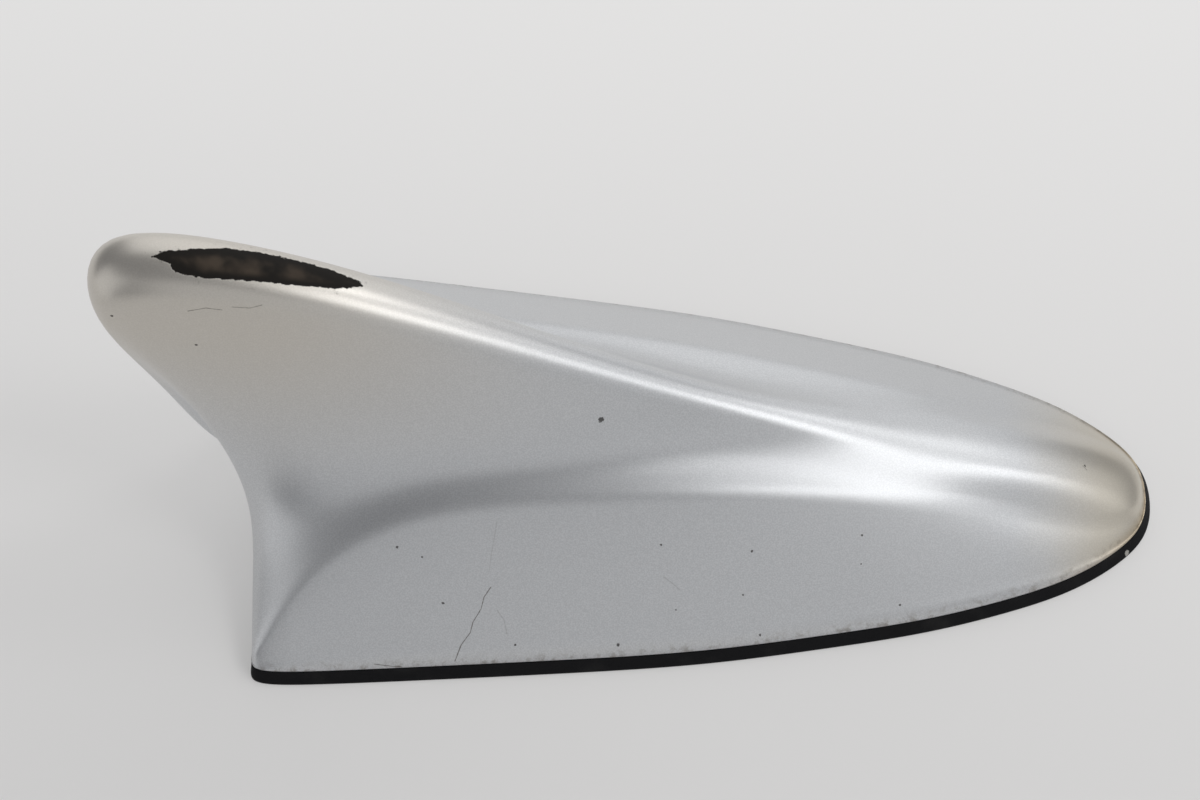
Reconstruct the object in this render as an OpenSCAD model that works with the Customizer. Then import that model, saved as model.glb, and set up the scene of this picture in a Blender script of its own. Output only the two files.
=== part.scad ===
// Shark fin roof aerial: painted moulded cover, rubber gasket, die-cast base and the boards inside.
// The frame is the fixing hole's: X runs forward to the nose, Y to the left, Z up, and the roof is at Z = 0.

/* [Cover] */
// Distance from the fixing hole forward to the nose
front_l = 67; // [60:0.5:75]
// Distance from the fixing hole back to the cover's rear corners
rear_l = 73; // [64:0.5:82]
// Width of the cover's foot at its rear corners
base_w = 76.8; // [68:0.2:88]
// How far the fin's tail reaches back past the rear corners
tail_l = 22; // [16:1:28]
// Height of the fin above the cover's foot
fin_h = 55.4; // [53:0.2:62]
// Thickness of the fin near its crest
fin_w = 10; // [9:0.2:12]
// Height of the side ridges above the cover's foot
ridge_h = 18.5; // [17:0.1:21]
// Crown of the sloping skirt between foot and ridge
skirt_crown = 0.4; // [0:0.1:0.8]
// How far the rounding of the side ridges reaches on either side of them
ridge_round = 1.8; // [1:0.1:3]
// Wall of the moulding
wall = 2.2; // [1.8:0.1:2.4]
// Solid land of the moulding along its rear edge
rear_land = 8; // [6:0.5:10]

/* [Gasket] */
// Thickness of the gasket between the cover and the roof
gasket_t = 2.2; // [1.8:0.1:2.8]
// How far the gasket's lip flares out past the cover at the roof
lip_w = 1.1; // [0.7:0.1:1.6]
// How far the lip flares out along the rear edge
lip_rear_w = 0.2; // [0.1:0.1:0.8]
// Upright height of the lip's edge
lip_t = 0.5; // [0.3:0.1:0.8]
// How far the gasket's flange reaches in under the base plate
flange_seat = 3; // [2:0.25:4]
// Distance of the sealing groove in the gasket's underside from the cover's edge
groove_in = 2; // [1.5:0.25:3]
// Width of that groove
groove_w = 2; // [1.5:0.25:2.5]
// Depth of that groove
groove_d = 0.5; // [0.3:0.05:0.8]
// Width of the foam seal round the hole in the roof
seal_ring_w = 2.2; // [1.6:0.1:3]
// Width of the cord that seals the gap between cover and base plate
seal_w = 1; // [0.8:0.1:1.2]

/* [Base plate] */
// Gap between the base plate's edge and the cover's wall
plate_gap = 1.3; // [1.2:0.1:1.6]
// Thickness of the die-cast plate
plate_t = 2.4; // [2.2:0.1:2.8]
// Depth of the pockets in the plate's underside
pocket_d = 0.9; // [0.5:0.1:1.2]
// Height of the pads under the cover's screw posts, above the plate
pad_h = 1; // [0.8:0.1:1.4]
// Thickness of the ribs on the plate
rib_t = 1.4; // [1:0.1:2]
// Radius of the tapped hole that takes the roof bolt
bolt_r = 4; // [3:0.05:4.5]
// Depth of the tapped hole
bolt_depth = 9; // [8:0.25:10]
// Metal round and above the tapped hole
boss_wall = 2.6; // [2:0.1:3]
// Height of the boss's mouth above the roof
mouth_z = 0.4; // [0.2:0.1:0.6]

/* [Screws] */
// Shank radius of the cover screws
screw_r = 1.5; // [1.2:0.05:1.7]
// Head radius of the cover screws
head_r = 2.8; // [2.4:0.1:3.2]
// Head height of the cover screws
head_h = 1.5; // [1.2:0.1:1.8]
// Radius of the cover's screw posts
post_r = 3.2; // [3:0.1:3.6]
// Distance of the front screw behind the nose
front_screw_in = 24; // [22:0.5:30]
// Reach of the screws into the cover's posts
screw_grip = 3.6; // [3:0.1:4]
// Shank radius of the board screws
board_screw_r = 0.8; // [0.6:0.05:1]
// Head radius of the board screws
board_head_r = 1.7; // [1.5:0.05:2]
// Clearance round a screw's shank and head
screw_clear = 0.15; // [0.1:0.05:0.25]

/* [Boards] */
// Thickness of both circuit boards
board_t = 1.2; // [1:0.05:1.4]
// Height of the main board above the base plate
standoff_h = 1.8; // [1.6:0.1:2.2]
// Gap between the upright board's edge and the cover's wall
fin_board_gap = 1.6; // [1.2:0.1:2.4]
// Length of the upright board's foot
fin_foot_l = 14; // [12:0.5:15]
// Thickness of the top cap's sheet
sheet_t = 0.4; // [0.3:0.05:0.5]
// Clearance between pieces that are slipped together
slip = 0.1; // [0.05:0.05:0.2]

/* [Patch aerials] */
// Side of the satellite radio patch
sat_side = 25; // [23:0.5:26]
// Side of the position patch
pos_side = 18; // [16:0.5:18.5]
// Thickness of the ceramic patches
patch_t = 3.2; // [2.8:0.1:3.6]
// Thickness of the adhesive pads under them
pad_t = 0.3; // [0.2:0.05:0.5]
// Radius of the feed pins
feed_r = 0.5; // [0.4:0.05:0.7]

/* [Sockets] */
// Side of each socket's square mouth
mouth = 8.4; // [7.8:0.1:9]
// Depth of the sockets
socket_d = 10.6; // [10:0.1:11]
// Wall of the socket housing
socket_wall = 1.2; // [1:0.1:1.4]
// Reach of the housing's flange past the sockets, within the base plate's window
flange_reach = 1.6; // [1:0.1:2]
// Outer radius of a coaxial contact's shell
shell_r = 1.7; // [1.5:0.05:1.9]
// Wall of a coaxial contact's shell
shell_t = 0.35; // [0.25:0.05:0.45]
// Radius of a coaxial contact's pin
pin_r = 0.4; // [0.3:0.05:0.5]

/* [Hidden] */

// The cover is drawn through stations that run from the nose along the side, round the rear corner and in to
// the middle of the rear edge. Each station joins a point of the foot, a point of the side ridge and a point of
// the profile in the middle plane by a rib, and each row below gives one quantity at those stations. The surface
// runs along the rows as a cubic B-spline.

// Foot: distance behind the nose in hundredths of base_l, and out from the middle in hundredths of half base_w
foot = [[-0.3, 0], [0.3, 15.5], [3.5, 28.5], [9, 42.5], [16, 53], [25.5, 64.5], [36.5, 73], [50, 83],
    [65, 89], [80, 94.5], [93, 99], [99.5, 100], [99, 91], [99.5, 67.5], [99.5, 34], [101, 0]];
// Ridge: height above the foot in hundredths of ridge_h, and how far the skirt leans in for each unit of height
ridge = [[7, 0.5], [9, 0.7], [17, 1.1], [31.5, 1.4], [48, 1.35], [66.5, 1.2], [82, 1.1], [95, 1.05],
    [98, 1], [97, 1], [65.5, 1], [11.5, 0.6], [6, 0], [10, 0], [16.5, 0], [23, 0]];
// Profile: behind the nose in hundredths of base_l and of tail_l, and above the foot in hundredths of fin_h
profile = [[0, 0, 0], [0.7, 0, 6], [4, 0, 11], [9.5, 0, 16.5], [17, 0, 21.5], [26.5, 0, 26.5],
    [37, 0, 33.5], [49.5, 0, 42.5], [67, 0, 62.5], [88.5, 0, 89], [97, 60, 102], [100, 102, 97.5],
    [100, 100, 77.5], [100, 67, 46], [100, 45.5, 20], [0, 0, 0]];
// Rib: radius of its rounded top in hundredths of half fin_w, angle that it turns through, slope where it meets
// the ridge, how long it holds each of those two directions in shares of its length, and its forward bow
rib = [[400, 12, 50, 0.33, 0.33, 0], [400, 12, 46, 0.33, 0.33, 0], [400, 12, 42, 0.33, 0.33, 0],
    [400, 12, 36, 0.33, 0.33, 0], [400, 13, 26, 0.33, 0.33, 0], [280, 17, 16, 0.33, 0.35, 0],
    [120, 30, 12, 0.36, 0.35, 0], [75, 52, 12, 0.48, 0.36, 0], [85, 66, 14, 0.56, 0.34, 0],
    [115, 74, 16, 0.62, 0.3, 0.4], [120, 80, 22, 0.72, 0.22, 2], [145, 84, 22, 0.84, 0.34, 2.8],
    [110, 84, 16, 0.86, 0.62, 3], [85, 82, 12, 0.72, 0.6, 4.4], [85, 76, 8, 0.5, 0.5, 1.4],
    [70, 60, 8, 0.33, 0.4, 0]];

last = len(foot) - 1;
nose_x = front_l;
rear_x = -rear_l;
base_l = front_l + rear_l;
half_w = base_w / 2;
corner = 10;
foot_z = gasket_t;
in_x = rear_x + rear_land;

// Heights of the stack
plate_top = foot_z + plate_t;
post_z = plate_top + pad_h;
board_z = plate_top + standoff_h;
board_top = board_z + board_t;
patch_z = board_top + pad_t;
top_patch_z = patch_z + patch_t + pad_t;
stack_top = top_patch_z + patch_t;
boss_r = bolt_r + boss_wall;
boss_top = mouth_z + bolt_depth + boss_wall;
socket_l = mouth + 2 * socket_wall;
socket_z = 0.5;
socket_top = socket_z + socket_d + socket_wall;

// Places along the aerial
patch_x = -boss_r - 1.2 - sat_side / 2;
can_l = 10;
can_w = 9;
can_x = boss_r + 2 + can_l / 2;
board_front = can_x + can_l / 2 + 2 * board_head_r + 1.4;
holder_w = board_t + 4.4;
socket_x = in_x + plate_gap + 0.5 + flange_seat + seal_ring_w + 2 + socket_l / 2;
socket_y = holder_w / 2 + 0.6 + socket_l / 2;
window_l = socket_l + 2 * flange_reach;
window_w = 2 * socket_y + socket_l + flange_reach;
lip = [window_l + 2.4, 2 * socket_y + 2, 0.8];
rib_end = socket_x + lip[0] / 2 + 0.4;
rear_row_x = socket_x - lip[0] / 2 - rib_t / 2 - 0.3;
board_rear = rear_row_x - 3.5;
fin_x = board_rear + 0.5 + fin_foot_l / 2;
fin_front = fin_x + fin_foot_l / 2 + 15;
sat_pin_x = patch_x + (sat_side + pos_side) / 4;
pos_pin_x = patch_x - 1.5;

// Cubic B-spline through a list of control values, at the place u along it, where each span is one station long
function spline(c, u) = let(i = min(floor(u), len(c) - 4), t = u - i)
    (c[i] * pow(1 - t, 3) + c[i + 1] * (3 * pow(t, 3) - 6 * t * t + 4)
    + c[i + 2] * (-3 * pow(t, 3) + 3 * t * t + 3 * t + 1) + c[i + 3] * pow(t, 3)) / 6;
function flip(p) = len(p) == 3 ? [p[0], -p[1], p[2]] : [p[0], -p[1]];
function mirrored_ends(c) = concat([flip(c[1])], c, [flip(c[len(c) - 2])]);
function free_ends(c) = let(n = len(c) - 1) concat([2 * c[0] - c[1]], c, [2 * c[n] - c[n - 1]]);
function unit(v) = v / max(norm(v), 0.000001);

// Control points of the foot, and their outward normals
foot_p = [for (f = foot) [nose_x - f[0] * base_l / 100, f[1] * half_w / 100]];
foot_e = mirrored_ends(foot_p);
foot_n = [for (i = [0:last]) let(t = unit(foot_e[i + 2] - foot_e[i])) [t[1], -t[0]]];

// A point of the foot moved in by d along the side and by r from the rear edge, or out where they are negative
function inset_point(i, d, r) = i < corner ? foot_p[i] - foot_n[i] * d
    : [foot_p[i][0] + r * (i == corner ? 0.6 : 1), foot_p[i][1] * (half_w - d) / half_w];

// A closed outline in the plane from a control list, with steps points to each station
function outline(c, steps) = let(n = last * steps)
    concat([for (k = [0:n]) spline(c, k / steps)], [for (k = [n - 1:-1:1]) flip(spline(c, k / steps))]);

// Shell of the cover at a depth d below its outer face: control lists of foot, ridge, profile and rib
function depth_foot(d) = mirrored_ends([for (i = [0:last])
    inset_point(i, d * sqrt(1 + pow(ridge[i][1], 2)), d > 0 ? rear_land : 0)]);
function depth_ridge(d) = mirrored_ends([for (i = [0:last]) let(h = ridge[i][0] * ridge_h / 100,
    q = d > 0 && i > corner ? inset_point(i, d + h * ridge[i][1], rear_land)
        : foot_p[i] - foot_n[i] * (h * ridge[i][1] + 0.47 * d))
    [q[0], i == 0 || i == last ? 0 : q[1], foot_z + max(h - 0.94 * d, 0.4)]]);
function depth_profile(d) = let(r = depth_ridge(d), a = spline(r, 0), b = spline(r, last),
    p = [for (i = [0:last]) i == 0 ? [a[0], a[2]] : i == last ? [b[0], b[2]]
        : [nose_x - profile[i][0] * base_l / 100 - profile[i][1] * tail_l / 100,
            foot_z + profile[i][2] * fin_h / 100]])
    free_ends([for (i = [0:last]) i == 0 || i == last ? p[i]
        : let(t = unit(p[i + 1] - p[i - 1])) p[i] + [t[1], -t[0]] * -d]);
function depth_rib(d) = free_ends([for (r = rib) [max(r[0] * fin_w / 200 - d, 0.8), r[1], r[2], r[3], r[4], r[5]]]);

// One rib from the profile point k down to just above the ridge point r, as a list of points on the left side
function rib_line(k, r, b, arc_n, fall_n, ease) = let(dx = r[0] - k[0], dz = r[2] - k[1], s = norm([dx, dz]),
    y = r[1], rad = b[0] * y / (y + 0.25 * b[0]), f = [rad * (1 - cos(b[1])), rad * sin(b[1])],
    c = norm([s, y] - f), f1 = f + b[3] * c * [sin(b[1]), cos(b[1])], e = [s, y],
    e1 = e - b[4] * c * [sin(b[2]), cos(b[2])], w = s < 0.000001 ? [0, 0] : [dx, dz] / s,
    stop = 1 - ease / max(3 * b[4] * c, 0.000001),
    flat = concat([for (j = [0:arc_n - 1]) let(a = b[1] * j / arc_n) rad * [1 - cos(a), sin(a)]],
        [for (j = [0:fall_n]) let(v = stop * j / fall_n)
            f * pow(1 - v, 3) + f1 * 3 * v * pow(1 - v, 2) + e1 * 3 * v * v * (1 - v) + e * pow(v, 3)]))
    [for (q = flat) let(g = q[0] / max(s, 0.000001), bow = 4 * b[5] * g * (1 - g))
        [k[0] + q[0] * w[0] - bow * w[1], q[1], k[1] + q[0] * w[1] + bow * w[0]]];

// The skirt below the ridge, crowned a little, from just below the ridge to the foot
function skirt_line(r, a, n, ease) = let(e = [a[0], a[1], foot_z], d = e - r, out = norm([d[0], d[1]]),
    nrm = unit([-d[0] * d[2], -d[1] * d[2], out * out]), v0 = ease / max(norm(d), 0.000001))
    [for (j = [0:n]) let(v = v0 + (1 - v0) * j / n, crown = skirt_crown * min(1, norm(d) / 12))
        r + d * v + nrm * 4 * v * (1 - v) * crown];

// How much of the rib and of the skirt the ridge's rounding takes
function ridge_ease(k, r, a) = min(ridge_round, 0.3 * norm([r[0] - k[0], r[1], r[2] - k[1]]),
    0.3 * norm([a[0], a[1], foot_z] - r));

// A whole rib: the fall from the profile, the rounded ridge, and the skirt
function station_line(k, r, a, b, arc_n, fall_n, skirt_n) = let(ease = ridge_ease(k, r, a),
    up = rib_line(k, r, b, arc_n, fall_n, ease), down = skirt_line(r, a, skirt_n, ease), p = up[len(up) - 1])
    concat(up, [for (t = [1 / 3, 2 / 3]) p * pow(1 - t, 2) + r * 2 * t * (1 - t) + down[0] * t * t], down);

// A closed solid of the cover's form at depth d, with a straight drop of length drop below the foot
module cover_form(d, steps, arc_n, fall_n, skirt_n, drop) {
    cf = depth_foot(d);
    cr = depth_ridge(d);
    cp = depth_profile(d);
    cb = depth_rib(d);
    n = last * steps;
    top = arc_n + fall_n + 3;
    m = top + skirt_n + 1;
    rows = [for (k = [0:n]) let(u = k / steps, a = spline(cf, u))
        concat(station_line(spline(cp, u), spline(cr, u), a, spline(cb, u), arc_n, fall_n, skirt_n),
            [[a[0], a[1], foot_z - drop]])];
    inner = [for (k = [1:n - 1]) each concat([for (j = [m:-1:1]) flip(rows[k][j])], rows[k])];
    ends = concat([for (j = [top:m]) rows[0][j]], [for (j = [top:m]) rows[n][j]]);
    ring = 2 * m + 1;
    e0 = len(inner);
    e1 = e0 + m - top + 1;
    function at(k, j) = k == 0 ? e0 + max(abs(j) - top, 0) : k == n ? e1 + max(abs(j) - top, 0)
        : (k - 1) * ring + m + j;
    tri = [for (k = [0:n - 1], j = [-m:m - 1])
        each [[at(k, j), at(k + 1, j), at(k, j + 1)], [at(k, j + 1), at(k + 1, j), at(k + 1, j + 1)]]];
    floor_face = concat([for (k = [0:n]) at(k, m)], [for (k = [n - 1:-1:1]) at(k, -m)]);
    polyhedron(points = concat(inner, ends), convexity = 8,
        faces = concat([for (f = tri) if (f[0] != f[1] && f[1] != f[2] && f[0] != f[2]) f], [floor_face]));
}

// The base plate's edge, clear of the cover's sloping wall up to the plate's top, and the same line e further in
function plate_line(e) = outline(mirrored_ends([for (i = [0:last]) let(k = ridge[min(i, corner)][1])
    inset_point(i, wall * sqrt(1 + k * k) + plate_t * k + plate_gap + e, rear_land + plate_gap + 0.5 + e)]), 4);

// Half width of the cover's foot at x
function foot_half(x) = lookup(x, [for (k = [4 * corner - 2:-1:0]) spline(foot_e, k / 4)]);

// The cover's screws stand clear of the gasket's flange, and the main board fits between their posts
mid_x = -2;
rear_post_x = in_x + 9;
post_room = wall * 1.41 + plate_t + plate_gap + flange_seat + head_r + screw_clear + 1.6;
function post_y(x) = foot_half(x) - post_room;
cover_xy = [[nose_x - front_screw_in, 0], for (x = [mid_x, rear_post_x], s = [-1, 1]) [x, s * post_y(x)]];

// Half width of the main board at x
board_mid = post_y(mid_x) - post_r - 0.9;
board_end = post_y(rear_post_x) - post_r - 0.9;
function board_half(x) = board_mid + (board_end - board_mid) * (mid_x - x) / (mid_x - board_rear);
board_xy = [for (x = [board_front - board_head_r - 0.8, mid_x - 4, rear_row_x], s = [-1, 1])
    [x, s * (board_half(x) - board_head_r - 1)]];

// The side view of the cover at depth d, as a closed outline in X and Z
function side_line(d) = let(c = depth_profile(d)) concat([for (k = [0:last * 4]) spline(c, k / 4)]);

// A plate in the middle plane from an outline in X and Z
module upright(t) {
    translate([0, t / 2, 0]) rotate([90, 0, 0]) linear_extrude(t) children();
}

module block(x, y, z, size) {
    translate([x - size[0] / 2, y - size[1] / 2, z]) cube(size);
}

// A screw with a flat head below and its tip up
module screw(r, hr, hh, l) {
    cylinder(r = hr, h = hh, $fn = 32);
    translate([0, 0, hh]) cylinder(r = r, h = l - hh - r, $fn = 32);
    translate([0, 0, l - r]) cylinder(r1 = r, r2 = r * 0.4, h = r, $fn = 32);
}

// Painted moulded cover: a hollow shell with posts for the screws that come up through the base plate
module cover() {
    color([0.66, 0.66, 0.65]) {
        difference() {
            cover_form(0, 5, 5, 10, 3, 0);
            cover_form(wall, 3, 2, 6, 2, 1);
        }
        difference() {
            intersection() {
                union() for (p = cover_xy) translate([p[0], p[1], 0]) {
                    hull() {
                        translate([0, 0, post_z]) cylinder(r = post_r, h = 0.1, $fn = 32);
                        translate([0, 0, post_z + 12]) cylinder(r = post_r + 0.4, h = 0.1, $fn = 32);
                    }
                    for (a = [0, 90]) rotate(a) hull() {
                        block(0, 0, post_z + 1, [2 * post_r, rib_t, 0.1]);
                        block(0, 0, post_z + 12, [2 * post_r + 6, rib_t, 0.1]);
                    }
                }
                cover_form(wall / 2, 3, 2, 6, 2, 0);
            }
            for (p = cover_xy) translate([p[0], p[1], post_z - 1])
                cylinder(r = screw_r + 0.02, h = screw_grip + 1.2, $fn = 32);
        }
    }
}

// Rubber gasket: a flat frame under the cover's edge and the base plate's edge
module gasket() {
    function edge(d, r) = outline(mirrored_ends([for (i = [0:last]) inset_point(i, d, r)]), 4);
    low = edge(-lip_w, -lip_rear_w);
    high = edge(0, 0);
    n = len(low);
    color([0.1, 0.1, 0.1]) difference() {
        union() {
            linear_extrude(lip_t) polygon(low);
            polyhedron(points = concat([for (p = low) [p[0], p[1], lip_t - 0.1]],
                    [for (p = high) [p[0], p[1], gasket_t]]),
                faces = concat([[for (k = [0:n - 1]) k], [for (k = [n - 1:-1:0]) n + k]],
                    [for (k = [0:n - 1]) each let(q = (k + 1) % n) [[k, n + q, q], [k, n + k, n + q]]]));
        }
        translate([0, 0, -1]) linear_extrude(gasket_t + 2) polygon(plate_line(flange_seat));
        translate([0, 0, -1]) linear_extrude(1 + groove_d) difference() {
            polygon(edge(groove_in, groove_in));
            polygon(edge(groove_in + groove_w, groove_in + groove_w));
        }
    }
}

// Die-cast base plate with the tapped boss, pads, standoffs, ribs and the window for the sockets
module base_plate() {
    color([0.62, 0.63, 0.64]) difference() {
        union() {
            translate([0, 0, foot_z]) linear_extrude(plate_t) polygon(plate_line(0));
            translate([0, 0, mouth_z]) cylinder(r = boss_r, h = boss_top - mouth_z, $fn = 64);
            for (p = cover_xy) translate([p[0], p[1], plate_top - 0.5])
                cylinder(r = post_r + 0.4, h = pad_h + 0.5, $fn = 40);
            for (p = board_xy) translate([p[0], p[1], plate_top - 0.5])
                cylinder(r = board_head_r + 0.2, h = standoff_h + 0.5, $fn = 32);
            for (i = [0, 2, 4]) block(board_xy[i][0], 0, plate_top - 0.5, [rib_t, 2 * board_xy[i + 1][1], 1.3]);
            for (s = [-1, 1]) translate([rib_end, s * board_xy[3][1] - rib_t / 2, plate_top - 0.5])
                cube([board_xy[0][0] - rib_end, rib_t, 1.3]);
        }
        translate([0, 0, foot_z - 1]) linear_extrude(pocket_d + 1) difference() {
            polygon(plate_line(flange_seat + 1));
            hole_outline(seal_ring_w + 1);
            for (p = cover_xy) translate(p) circle(r = head_r + 1.6, $fn = 40);
            for (p = board_xy) translate(p) circle(r = board_screw_r + 1.7, $fn = 32);
            for (i = [0:7]) translate([in_x + (base_l - rear_land) * i / 8, -base_w / 2]) square([rib_t, base_w]);
            translate([rear_x, -rib_t / 2]) square([base_l, rib_t]);
        }
        translate([0, 0, mouth_z - 1]) cylinder(r = bolt_r, h = bolt_depth + 1, $fn = 64);
        block(socket_x, 0, foot_z - 1, [window_l + 2 * slip, window_w + 2 * slip, plate_t + 4]);
        for (p = cover_xy) translate([p[0], p[1], foot_z - 1]) {
            cylinder(r = screw_r + screw_clear, h = plate_t + pad_h + 2, $fn = 32);
            cylinder(r = head_r + screw_clear, h = head_h + 1, $fn = 40);
        }
        for (p = board_xy) translate([p[0], p[1], plate_top - 0.6])
            cylinder(r = board_screw_r + 0.02, h = standoff_h + 2, $fn = 32);
    }
}

// Line round the hole in the roof that the boss and the sockets stand over, with e added all round
module hole_outline(e) {
    hull() {
        circle(r = boss_r + 1.8 + e, $fn = 64);
        for (x = [-1, 1], y = [-1, 1])
            translate([socket_x + x * socket_l / 2, y * (socket_y + socket_l / 2)]) circle(r = 1 + e, $fn = 32);
    }
}

// Foam seal round the hole in the roof, under the base plate
module hole_seal() {
    color([0.2, 0.2, 0.21]) linear_extrude(foot_z) difference() {
        hole_outline(seal_ring_w);
        hole_outline(0);
    }
}

// Cord that closes the gap between the base plate's edge and the cover
module cover_seal() {
    color([0.16, 0.16, 0.17]) translate([0, 0, foot_z]) linear_extrude(seal_w * 0.8) difference() {
        polygon(plate_line(-slip - seal_w));
        polygon(plate_line(-slip));
    }
}

// Screws that hold the cover, with their heads sunk in the base plate
module cover_screws() {
    color([0.55, 0.55, 0.52]) for (p = cover_xy) translate([p[0], p[1], foot_z])
        difference() {
            screw(screw_r, head_r, head_h, plate_t + pad_h + screw_grip);
            translate([0, 0, -0.1]) cylinder(r = head_r * 0.42, h = head_h * 0.6, $fn = 6);
        }
}

// Toothed ring round the boss that earths the aerial to the roof
module earth_ring() {
    color([0.72, 0.6, 0.35]) translate([0, 0, mouth_z]) linear_extrude(0.6) difference() {
        union() {
            circle(r = boss_r + 1, $fn = 64);
            for (a = [0:30:330]) rotate(a) translate([boss_r, -0.7]) square([1.4, 1.4]);
        }
        circle(r = boss_r + slip / 2, $fn = 64);
    }
}

// Main board, tapered to the front, with holes for the boss, the sockets, the screws and the feed pins
module main_board() {
    color([0.1, 0.32, 0.2]) translate([0, 0, board_z]) linear_extrude(board_t) difference() {
        polygon([[board_front, board_half(board_front)], [board_front, -board_half(board_front)],
            [board_rear, -board_half(board_rear)], [board_rear, board_half(board_rear)]]);
        circle(r = boss_r + 0.5, $fn = 64);
        for (s = [-1, 1]) translate([socket_x, s * socket_y])
            square([socket_l + 2 * slip, socket_l + 2 * slip], center = true);
        for (p = board_xy) translate(p) circle(r = board_screw_r + screw_clear, $fn = 32);
        for (x = [sat_pin_x, pos_pin_x]) translate([x, 0]) circle(r = feed_r + 0.02, $fn = 32);
    }
}

module board_screws() {
    color([0.7, 0.7, 0.68]) for (p = board_xy) translate([p[0], p[1], board_top + 1])
        mirror([0, 0, 1]) screw(board_screw_r, board_head_r, 1, board_t + standoff_h + 1);
}

// Upright board inside the fin: it follows the cover's profile and steps over the sockets
module fin_board() {
    color([0.12, 0.36, 0.24]) upright(board_t) intersection() {
        polygon(side_line(wall + fin_board_gap));
        union() {
            translate([rear_x - tail_l, stack_top + 0.7]) square([fin_front - rear_x + tail_l, fin_h]);
            translate([fin_x - fin_foot_l / 2, board_top]) square([fin_foot_l, fin_h / 2]);
        }
    }
}

// Clip that stands on the main board and holds the upright board's foot
module fin_board_holder() {
    color([0.12, 0.12, 0.13]) difference() {
        union() {
            block(fin_x, 0, board_top, [fin_foot_l - 3, holder_w, 2]);
            block(fin_x, 0, board_top, [fin_foot_l - 5, board_t + 2.8, 4.6]);
        }
        block(fin_x, 0, board_top - 1, [fin_foot_l + 2, board_t + 2 * slip, 8]);
    }
}

// Folded metal cap along the upright board's upper edge
module top_cap() {
    x0 = fin_front - 8;
    color([0.75, 0.74, 0.7]) difference() {
        upright(board_t + 2 * (slip + sheet_t)) intersection() {
            difference() {
                polygon(side_line(wall + fin_board_gap - slip - sheet_t));
                polygon(side_line(wall + fin_board_gap + 6));
            }
            translate([rear_x - tail_l, fin_h * 0.62]) square([x0 - rear_x + tail_l, fin_h]);
        }
        upright(board_t + 2 * slip) polygon(side_line(wall + fin_board_gap - slip));
    }
}

// Loading coil: a round wire swept along a helix, lying on the upright board
module loading_coil() {
    turns = 5;
    wire = 0.4;
    r = 2;
    pitch = 2.2;
    n = turns * 12;
    pts = [for (k = [0:n]) for (j = [0:5]) let(a = k * 30, b = j * 60)
        [pitch * k / 12 + wire * sin(b), (r + wire * cos(b)) * cos(a), (r + wire * cos(b)) * sin(a)]];
    side = [for (k = [0:n - 1]) for (j = [0:5]) each let(p = k * 6 + j, q = k * 6 + (j + 1) % 6)
        [[p, q, p + 6], [q, q + 6, p + 6]]];
    color([0.72, 0.43, 0.22])
        translate([fin_x - pitch * turns / 2, board_t / 2 + slip + r + wire, stack_top + 4])
        polyhedron(points = pts, faces = concat(side, [[for (j = [5:-1:0]) j], [for (j = [0:5]) n * 6 + j]]));
}

// Stamped element for the telephone bands, on the right face of the upright board
module phone_element() {
    l = 18;
    h = 8;
    color([0.78, 0.76, 0.7]) translate([fin_x + 2, -board_t / 2, stack_top + 3])
        rotate([90, 0, 0]) linear_extrude(sheet_t) difference() {
            translate([-l / 2, 0]) square([l, h]);
            for (i = [-2:2]) translate([i * 3.4 - 0.5, i % 2 == 0 ? 1.6 : -0.1]) square([1, h - 1.5]);
        }
}

// Ceramic patch aerial with holes for the feed pins that pass through it
module patch(side, z, pins) {
    color([0.86, 0.84, 0.78]) translate([0, 0, z]) difference() {
        linear_extrude(patch_t) difference() {
            translate([patch_x, 0]) square(side, center = true);
            for (a = [45:90:315])
                translate([patch_x, 0]) rotate(a) translate([side * 0.7071 - 1, -2]) square([4, 4]);
        }
        for (x = pins) translate([x, 0, -1]) cylinder(r = feed_r + 0.02, h = patch_t + 2, $fn = 32);
    }
}

module patch_pad(side, z, pins) {
    color([0.25, 0.26, 0.3]) translate([0, 0, z]) linear_extrude(pad_t) difference() {
        translate([patch_x, 0]) square(side - 1, center = true);
        for (x = pins) translate([x, 0]) circle(r = feed_r + 0.02, $fn = 32);
    }
}

module feed_pin(x, top) {
    color([0.78, 0.66, 0.4]) translate([x, 0, 0]) {
        translate([0, 0, board_z - 0.5]) cylinder(r = feed_r, h = top - board_z + 0.5, $fn = 32);
        translate([0, 0, top]) cylinder(r = feed_r * 2, h = 0.25, $fn = 32);
    }
}

module satellite_patch() patch(sat_side, patch_z, [sat_pin_x, pos_pin_x]);
module satellite_pad() patch_pad(sat_side, board_top, [sat_pin_x, pos_pin_x]);
module satellite_pin() feed_pin(sat_pin_x, patch_z + patch_t);
module position_patch() patch(pos_side, top_patch_z, [pos_pin_x]);
module position_pad() patch_pad(pos_side, patch_z + patch_t, [pos_pin_x]);
module position_pin() feed_pin(pos_pin_x, stack_top);

// Screening can over the amplifier, open below
module shield_can() {
    color([0.78, 0.78, 0.76]) difference() {
        block(can_x, 0, board_top, [can_l, can_w, 2.6]);
        block(can_x, 0, board_top - 1, [can_l - 2 * sheet_t, can_w - 2 * sheet_t, 3.6 - sheet_t]);
        for (i = [-1:1], j = [-1, 1]) translate([can_x + i * 2.4, j * 2, board_top])
            cylinder(r = 0.4, h = 4, $fn = 6);
    }
}

module amplifier_chips() {
    color([0.08, 0.08, 0.09]) {
        block(can_x, 0, board_top, [4, 4, 0.8]);
        for (s = [-1, 1]) block(board_rear + 2.9, s * board_xy[5][1] / 2, board_top, [3.8, 3.8, 0.9]);
    }
}

// Rows of small parts beside the screening can
module chip_parts() {
    color([0.55, 0.45, 0.32]) for (s = [-1, 1], i = [-1:1])
        block(can_x + i * 2.6, s * (can_w / 2 + 1.1), board_top, [1.6, 0.8, 0.6]);
}

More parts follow.
